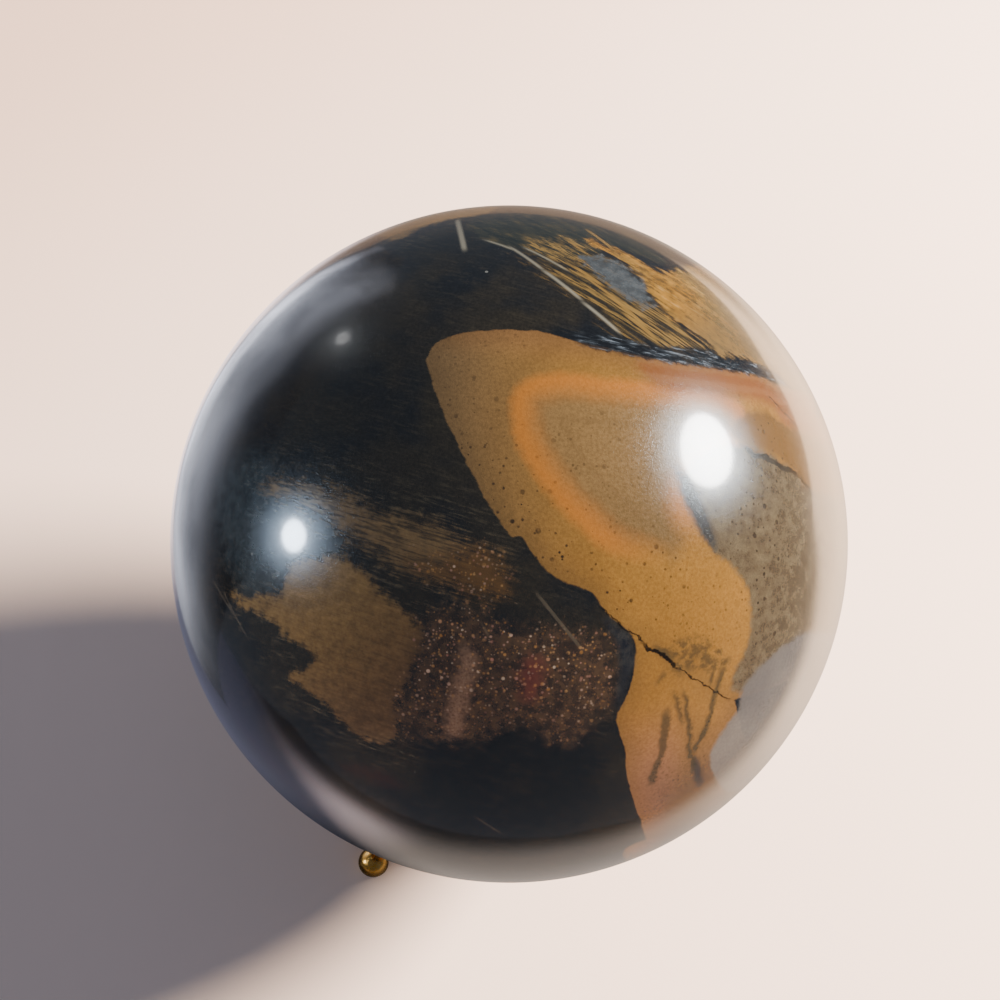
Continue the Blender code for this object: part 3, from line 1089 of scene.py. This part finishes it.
def ochre_fold(stone):
    """The fold from its brown tip to its golden end, with the orange band and the olive core inside it."""
    across = stone.slope((1.0, 0.0, 0.0), -9.0, 12.0)
    ochre = stone.mix(across, paint(98, 78, 52), stone.settings.ochre)
    upper = stone.slope((0.15, 1.0, 0.0), 17.5, 23.0)
    ochre = stone.lay(ochre, paint(128, 88, 54), upper, 0.7)
    low = stone.times(stone.slope((0.2, -1.0, 0.0), 18.0, 30.0), stone.zone("lobe", 4.0))
    pink = stone.times(low, stone.slope((-1.0, 0.0, 0.0), -19.5, -15.5))
    ochre = stone.lay(ochre, paint(164, 112, 78), pink)
    ochre = stone.lay(ochre, paint(114, 80, 52), stone.slope((1.0, -0.5, 0.0), 29.0, 36.0), 0.7)
    ochre = stone.lay(ochre, paint(80, 64, 48), low, 0.8)
    ochre = stone.varied(ochre, stone.grain, 0.84, 1.14)
    ochre = stone.varied(ochre, stone.cloud, 0.9, 1.14)
    ochre = stone.lay(ochre, paint(84, 66, 40), stone.step(stone.depth("ochre", 2.0), 0.0, 3.0, 0.32, 0.0))
    inner = stone.depth("core", 1.0)
    olive = stone.mix(stone.slope((0.3, -1.0, 0.0), -6.0, 8.0), stone.settings.olive, paint(104, 83, 50))
    olive = stone.varied(olive, stone.grain, 0.82, 1.16)
    olive = stone.varied(olive, stone.ragged, 0.9, 1.1)
    ring = stone.math("SINE", stone.times(inner, 3.0))
    olive = stone.mix(stone.step(ring, 0.2, 1.0, 0.0, 0.3), olive, paint(104, 80, 48))
    past = stone.slope((0.45, -0.9, 0.0), 3.0, 9.0)
    limb = stone.slope((-0.5, -1.0, 0.0), -8.0, 4.0)
    orange = stone.mix(limb, stone.settings.orange, paint(152, 105, 46))
    orange = stone.varied(orange, stone.grain, 0.9, 1.08)
    orange = stone.mix(past, orange, ochre)
    inside = stone.blend(inner, 0.3, 3.6, orange, olive)
    return stone.blend(inner, -1.0, 0.5, ochre, inside)


def lay_ochre_side(stone, colour):
    """The ochre fold and lobe with their bands, core and speckled side."""
    ochre = ochre_fold(stone)
    wave = stone.times(stone.depth("ochre"), 3.2)
    ripple = stone.math("SINE", stone.math("MULTIPLY_ADD", stone.ragged, 3.0, wave))
    red = stone.blend(ripple, -0.6, 0.9, stone.settings.red, paint(124, 80, 48))
    ochre = stone.lay(ochre, red, stone.zone("red", 1.1, 1.6), 0.85)
    ochre = stone.lay(ochre, paint(98, 72, 38), stone.zone("gold", 0.6, 1.2), 0.9)
    sandy = stone.blend(stone.ragged, -0.25, 0.25, paint(68, 56, 40), paint(98, 86, 64))
    sandy = stone.varied(sandy, stone.fine_grain, 0.82, 1.18)
    ochre = stone.lay(ochre, sandy, stone.zone("speckled", 0.5, 1.4))
    small, _ = stone.specks(0.6, 0.6, 0.34)
    large, _ = stone.specks(1.3, 0.4, 0.28)
    freckled = stone.slope((-0.5, -0.85, 0.0), -13.0, -2.0)
    freckled = stone.times(freckled, stone.slope((0.0, 1.0, 0.0), -14.0, -6.0))
    freckled = stone.times(freckled, stone.step(stone.ragged, -0.2, 0.1))
    dense = stone.math("ADD", stone.times(stone.zone("speckled", 2.0), 0.6), stone.times(freckled, 0.8))
    dense = stone.math("ADD", dense, stone.times(stone.step(stone.cloud, 0.42, 0.6), 0.4))
    dots = stone.times(stone.math("MAXIMUM", small, large), dense)
    ochre = stone.lay(ochre, paint(48, 36, 22), dots, 0.85)
    colour = stone.lay(colour, ochre, stone.zone("ochre", 0.12, 0.5, 0.4))
    slate = stone.blend(stone.cloud, 0.35, 0.65, paint(92, 88, 84), paint(110, 105, 98))
    slate = stone.varied(slate, stone.grain, 0.92, 1.08)
    return stone.lay(colour, slate, stone.zone("slate", 0.5, 1.2), 0.92)


def lay_veins(stone, colour):
    """The dark fringes, the flecked vein along the fold, the lobe's veins, the crack and the scratches."""
    navy = stone.blend(stone.ragged, -0.2, 0.2, paint(26, 28, 36), paint(54, 54, 52))
    colour = stone.lay(colour, navy, stone.zone("blue", 0.5, 1.2), 0.85)
    drawn = stone.fibres(2.2, 0.3, 1.0, 3.0, VEIN_ANGLE)
    greys = ((0.46, paint(22, 23, 26)), (0.58, paint(50, 54, 58)), (0.68, paint(104, 112, 120)))
    flecks = stone.ramp(drawn, greys)
    colour = stone.lay(colour, flecks, stone.zone("flecked", 0.3, 1.4, 0.8), 0.9)
    dark = stone.all_lines(DARK_LINES)
    colour = stone.lay(colour, paint(34, 30, 24), dark, 0.75)
    blotch = stone.times(stone.zone("blotch", 0.8, 2.5), stone.step(stone.ragged, -0.12, 0.08))
    veins = stone.math("MAXIMUM", stone.all_lines(VEIN_LINES, soft=0.28), stone.times(blotch, 0.95))
    veins = stone.math("MAXIMUM", veins, stone.all_lines(BACK_VEINS, False, on_the_back))
    colour = stone.lay(colour, paint(56, 52, 36), veins, 0.75)
    crack = stone.all_lines(CRACK_LINES)
    colour = stone.lay(colour, paint(14, 11, 8), crack, 0.92)
    colour = stone.lay(colour, paint(112, 102, 84), stone.all_lines(BLACK_SCRATCHES, True), 0.32)
    return colour, crack


def stone_material(settings, groups):
    """Banded stone under a deep polish: silky fibres and grains lie below a clear, smooth skin."""
    material = new_material("polished_banded_stone")
    stone = StoneNodes(material.node_tree, settings, groups)
    colour = black_ground(stone)
    colour = lay_dark_side(stone, colour)
    colour = lay_brown_side(stone, colour)
    colour = lay_ochre_side(stone, colour)
    colour, crack = lay_veins(stone, colour)
    bump = stone.add("ShaderNodeBump", {"Strength": 0.4, "Distance": 0.00005, "Height": stone.fine_grain})
    shader = stone.add("ShaderNodeBsdfPrincipled", {
        "Base Color": colour,
        "Roughness": stone.step(stone.grain, 0.3, 0.7, 0.16, 0.24),
        "IOR": 1.5,
        "Specular IOR Level": 0.5,
        "Specular Tint": (0.78, 0.90, 1.0),
        "Coat Weight": stone.step(crack, 0.0, 1.0, 1.0, 0.3),
        "Coat Roughness": 0.09,
        "Coat IOR": 1.55,
        "Normal": bump.outputs["Normal"],
    })
    stone.finish(shader.outputs["BSDF"])
    return material


def brass_material(groups):
    """Cast brass, polished where hands reach, browner in the hollows where its parts meet."""
    material = new_material("worn_brass")
    nodes = Nodes(material.node_tree)
    place = nodes.vector("SCALE", nodes.add("ShaderNodeTexCoord").outputs["Object"])
    place.node.inputs["Scale"].default_value = 1 / MM
    inputs = {"Place": place, "Grain Scale": 3.0, "Cloud Scale": 0.3}
    fields = nodes.add("ShaderNodeGroup", inputs, node_tree=groups["grain"]).outputs
    cloud, fine = fields["Cloud"], fields["Grain"]
    inputs = {"Place": place, "Spacing": 2.2}
    scratches = nodes.add("ShaderNodeGroup", inputs, node_tree=groups["scratches"]).outputs["Mask"]
    inputs = {"Place": place, "Cell": 1.1, "Share": 0.3, "Speck": 0.16}
    pits = nodes.add("ShaderNodeGroup", inputs, node_tree=groups["specks"]).outputs["Mask"]
    hollow = nodes.add("ShaderNodeAttribute", attribute_name="hollow").outputs["Fac"]
    patchy = nodes.math("MULTIPLY_ADD", nodes.math("SUBTRACT", fine, 0.5), 0.8, hollow)
    tarnish = nodes.step(patchy, 0.25, 0.8)
    colour = nodes.blend(cloud, 0.35, 0.65, paint(228, 182, 104), paint(206, 150, 72))
    colour = nodes.mix(nodes.times(tarnish, 0.85), colour, paint(92, 62, 32))
    colour = nodes.mix(nodes.times(pits, 0.6), colour, paint(96, 66, 34))
    shine = nodes.step(fine, 0.3, 0.7, 0.15, 0.30)
    shine = nodes.math("MULTIPLY_ADD", tarnish, 0.22, shine)
    shine = nodes.math("MULTIPLY_ADD", scratches, 0.12, shine)
    height = nodes.math("MULTIPLY_ADD", pits, -0.8, nodes.math("MULTIPLY_ADD", scratches, -0.3, fine))
    bump = nodes.add("ShaderNodeBump", {"Strength": 0.35, "Distance": 0.00006, "Height": height})
    shader = nodes.add("ShaderNodeBsdfPrincipled", {
        "Base Color": colour,
        "Metallic": 1.0,
        "Roughness": shine,
        "Normal": bump.outputs["Normal"],
    })
    nodes.finish(shader.outputs["BSDF"])
    return material


def shared_groups():
    """The node groups that the finishes share, each built once."""
    built = {tree.name: tree for tree in bpy.data.node_groups}
    makers = {
        "line": ("Line on the ball", line_group),
        "specks": ("Specks", speck_group),
        "grain": ("Grain and clouds", grain_group),
        "scratches": ("Hairline scratches", scratch_group),
    }
    return {key: built.get(name) or make() for key, (name, make) in makers.items()}


def floor_material(colour, mirrored):
    """A matt pale sheet with painted shade in its upper left corner, which the polish mirrors dimmer in
    front, faded to black at its front edges as painted shadow, and bluer on the left as painted light.
    """
    material = new_material("pale_sheet")
    nodes = Nodes(material.node_tree)
    place = nodes.add("ShaderNodeTexCoord").outputs["Object"]
    mottle = nodes.noise(place, 14.0, 3.0).outputs["Fac"]
    tint = nodes.blend(mottle, 0.3, 0.7, colour, [value * MOTTLE_DIM for value in colour])
    # painted shade: the upper left corner is dimmed and warmed, away from the key
    corner = nodes.vector("DOT_PRODUCT", place, (-0.6, 0.8, 0.0))
    tint = nodes.blend(corner, 0.06, 0.17, tint, [value * dim for value, dim in zip(colour, CORNER_PAINTED_SHADE)])
    parts = nodes.add("ShaderNodeSeparateXYZ", {"Vector": place}).outputs
    seen = nodes.blend(parts["X"], 0.02, 0.10, MIRRORED_FRONT, mirrored)
    # painted light: bright and bluish on the left, where the ball's shadow lies
    seen = nodes.blend(parts["X"], -0.02, -0.055, seen, MIRRORED_LEFT_PAINTED_LIGHT)
    behind = nodes.times(nodes.step(parts["Y"], 0.09, 0.14), nodes.step(parts["X"], 0.07, 0.13, 1.0, 0.0))
    seen = nodes.mix(behind, seen, MIRRORED_BEHIND)
    # painted shadow: the mirrored sheet fades to black at its front edges, reaching further back on the left
    front = nodes.step(nodes.vector("DOT_PRODUCT", place, (0.19, 1.0, 0.0)), -0.086, -0.060)
    slant = nodes.vector("SUBTRACT", place, (*SHEET_CORNERS[3], 0.0))
    slant = nodes.vector("DOT_PRODUCT", slant, (-0.568, 0.823, 0.0))
    seen = nodes.mix(nodes.times(front, nodes.step(slant, -0.002, 0.022)), UNLIT, seen)
    glossy = nodes.add("ShaderNodeLightPath").outputs["Is Glossy Ray"]
    inputs = {"Base Color": nodes.mix(glossy, tint, seen), "Roughness": 0.8, "Specular IOR Level": 0.2}
    shader = nodes.add("ShaderNodeBsdfPrincipled", inputs).outputs["BSDF"]
    far = nodes.step(nodes.vector("LENGTH", place), 0.3, 1.1)
    clear = nodes.add("ShaderNodeBsdfTransparent").outputs["BSDF"]
    nodes.finish(nodes.add("ShaderNodeMixShader", {0: far, 1: shader, 2: clear}).outputs["Shader"])
    return material


class DECORSPHERE_OT_add_stone(bpy.types.Operator):
    """Make the polished stone ball with its markings"""

    bl_idname = "decor_sphere.add_stone"
    bl_label = "Stone Ball"

    def execute(self, context):
        ball = make_ball()
        ball.data.materials.append(stone_material(context.scene.decor_stone, shared_groups()))
        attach(ball, "root")
        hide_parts("sphere")
        return {"FINISHED"}


class DECORSPHERE_OT_add_stand(bpy.types.Operator):
    """Cast the brass stand: a ring, its legs and their ball feet in one piece"""

    bl_idname = "decor_sphere.add_stand"
    bl_label = "Brass Stand"

    def execute(self, context):
        stand = make_stand(context.scene.decor_stand)
        stand.data.materials.append(brass_material(shared_groups()))
        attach(stand, "root")
        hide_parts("stand")
        return {"FINISHED"}


def add_flat(name, corners, height, material):
    """A flat sheet of the stage with the given corners."""
    work = bmesh.new()
    work.faces.new([work.verts.new((x, y, height)) for x, y in corners])
    sheet = new_piece(name, work)
    work.free()
    sheet.data.materials.append(material)
    return sheet


def add_card(glow):
    """A white glowing card that stands at the back left, no lamp but a painted window reflection, which only
    the polish mirrors.
    """
    card = add_flat("glowing_window_card", CARD_CORNERS, 0.0, card_material(glow))
    card.data.transform(Matrix.Translation((CARD_X, 0.0, 0.0)) @ Matrix.Rotation(-math.pi / 2, 4, "Y"))
    card.visible_camera = False
    card.visible_diffuse = False
    card.visible_shadow = False


def card_material(glow):
    """A card that glows like a curtained window, brightest in a low band, fading at its top and ends."""
    material = new_material("glowing_card")
    nodes = Nodes(material.node_tree)
    place = nodes.add("ShaderNodeTexCoord").outputs["Object"]
    cloud = nodes.noise(place, 26.0, 4.0, 0.6).outputs["Fac"]
    parts = nodes.add("ShaderNodeSeparateXYZ", {"Vector": place}).outputs
    top = nodes.math("MULTIPLY_ADD", cloud, 0.06, nodes.math("MULTIPLY_ADD", parts["Y"], -0.5, parts["Z"]))
    glow = nodes.step(top, 0.074, 0.096, glow, 0.12)
    ends = nodes.step(parts["Y"], 0.10, 0.185, 1.0, 0.1)
    ends = nodes.times(ends, nodes.step(parts["Y"], -0.022, 0.026, 0.1, 1.0))
    band = nodes.times(nodes.step(parts["Z"], 0.004, 0.020), nodes.step(parts["Z"], 0.030, 0.046, 1.0, 0.0))
    band = nodes.times(band, nodes.step(parts["Y"], 0.03, 0.055, 0.3, 1.0))
    glow = nodes.times(nodes.times(glow, ends), nodes.step(band, 0.0, 1.0, 0.85, 3.0))
    glow = nodes.times(glow, nodes.step(cloud, 0.35, 0.65, 0.6, 1.3))
    shader = nodes.add("ShaderNodeEmission", {"Color": CARD_COLOUR, "Strength": glow})
    nodes.finish(shader.outputs["Emission"])
    return material


def add_lamp(name, direction, distance, size, turn, power, colour):
    """A soft oval lamp that faces the ball. The direction is the face's right, up and outwards."""
    light = bpy.data.lights.new(name, "AREA")
    light.shape = "ELLIPSE"
    light.size, light.size_y = size
    light.energy = power
    light.color = colour
    lamp = bpy.data.objects.new(name, light)
    way = FACE_TURN.inverted() @ Vector(direction).normalized()
    lamp.location = BALL_CENTRE + way * distance
    turned = way.to_track_quat("Z", "Y").to_matrix() @ Matrix.Rotation(turn, 3, "Z")
    lamp.rotation_euler = turned.to_euler()
    bpy.context.scene.collection.objects.link(lamp)
    return lamp


def light_only(lamp, pieces):
    """Keeps a lamp's light to the given pieces."""
    lit = bpy.data.collections.new("lit_by_" + lamp.name)
    for piece in pieces:
        lit.objects.link(piece)
    lamp.light_linking.receiver_collection = lit


def add_world(strength):
    """Even light from all round, pale where the camera sees it and dim where the polish mirrors it."""
    world = bpy.data.worlds.new("studio")
    world.use_nodes = True
    nodes = Nodes(world.node_tree)
    back = world.node_tree.nodes["Background"]
    path = nodes.add("ShaderNodeLightPath")
    tint = [value * strength for value in ROOM_TINT]
    seen = nodes.mix(path.outputs["Is Camera Ray"], tint, ROOM_SEEN)
    seen = nodes.mix(path.outputs["Is Glossy Ray"], seen, ROOM_MIRRORED)
    nodes.set(back.inputs["Color"], seen)
    bpy.context.scene.world = world


def add_camera():
    """The camera of the view, at its angle and distance from the ball."""
    data = bpy.data.cameras.new("view")
    focal_pixels = VIEW_RADIUS / math.tan(math.asin(1 / VIEW_DISTANCE))
    data.sensor_width = 36.0
    data.lens = focal_pixels * data.sensor_width / FRAME_PIXELS
    data.shift_x = (FRAME_PIXELS / 2 - VIEW_MIDDLE[0]) / FRAME_PIXELS
    data.shift_y = (VIEW_MIDDLE[1] - FRAME_PIXELS / 2) / FRAME_PIXELS
    data.clip_start = 0.01
    camera = bpy.data.objects.new("view", data)
    outwards = FACE_TURN.inverted() @ Vector((0.0, 0.0, 1.0))
    camera.location = BALL_CENTRE + outwards * BALL_RADIUS * VIEW_DISTANCE
    camera.rotation_euler = (math.pi / 2 - VIEW_ELEVATION, 0.0, 0.0)
    bpy.context.scene.collection.objects.link(camera)
    bpy.context.scene.camera = camera


class DECORSPHERE_OT_add_stage(bpy.types.Operator):
    """Add the floor, the soft lamps and the camera"""

    bl_idname = "decor_sphere.add_stage"
    bl_label = "Studio"

    def execute(self, context):
        settings = context.scene.decor_stage
        pale = floor_material(settings.floor, settings.floor_mirrored)
        near = add_flat("floor_near", SHEET_CORNERS, 0.0, pale)
        far = add_flat("floor_far", FAR_CORNERS, FAR_DROP, pale)
        far.visible_glossy = False
        add_card(settings.card_glow)
        add_lamp("key", KEY_WAY, KEY_DISTANCE, KEY_SIZE, KEY_TURN, settings.key_power, KEY_COLOUR)
        power = settings.side_power
        side = add_lamp("side", SIDE_WAY, SMALL_LAMP_DISTANCE, SIDE_SIZE, SIDE_TURN, power, SIDE_COLOUR)
        power = settings.wash_power
        wash = add_lamp("floor_wash", KEY_WAY, WASH_DISTANCE, KEY_SIZE, KEY_TURN, power, WASH_COLOUR)
        wash.visible_glossy = False
        light_only(wash, (near, far))
        glint = add_lamp("glint", GLINT_WAY, SMALL_LAMP_DISTANCE, GLINT_SIZE, 0.0, GLINT_POWER, WHITE)
        for lamp in (side, glint):
            light_only(lamp, [context.scene.objects[name] for name in ("stone_ball", "brass_stand")])
        add_world(settings.room_light)
        add_camera()
        return {"FINISHED"}


class DECORSPHERE_PT_sidebar(bpy.types.Panel):
    bl_idname = "DECORSPHERE_PT_sidebar"
    bl_label = "Decorative Sphere"
    bl_space_type = "VIEW_3D"
    bl_region_type = "UI"
    bl_category = "Sphere"

    def draw(self, context):
        for group, operator in (
            (context.scene.decor_stone, DECORSPHERE_OT_add_stone),
            (context.scene.decor_stand, DECORSPHERE_OT_add_stand),
            (context.scene.decor_stage, DECORSPHERE_OT_add_stage),
        ):
            box = self.layout.box()
            for name in group.bl_rna.properties.keys():
                if name not in ("name", "rna_type"):
                    box.prop(group, name)
            box.operator(operator.bl_idname)


CLASSES = (
    StoneSettings,
    StandSettings,
    StageSettings,
    DECORSPHERE_OT_add_stone,
    DECORSPHERE_OT_add_stand,
    DECORSPHERE_OT_add_stage,
    DECORSPHERE_PT_sidebar,
)


def register():
    for each in CLASSES:
        bpy.utils.register_class(each)
    bpy.types.Scene.decor_stone = PointerProperty(type=StoneSettings)
    bpy.types.Scene.decor_stand = PointerProperty(type=StandSettings)
    bpy.types.Scene.decor_stage = PointerProperty(type=StageSettings)


def unregister():
    del bpy.types.Scene.decor_stage
    del bpy.types.Scene.decor_stand
    del bpy.types.Scene.decor_stone
    for each in reversed(CLASSES):
        bpy.utils.unregister_class(each)


def main():
    register()
    bpy.ops.decor_sphere.add_stone()
    bpy.ops.decor_sphere.add_stand()
    bpy.ops.decor_sphere.add_stage()


if __name__ == "__main__":
    main()
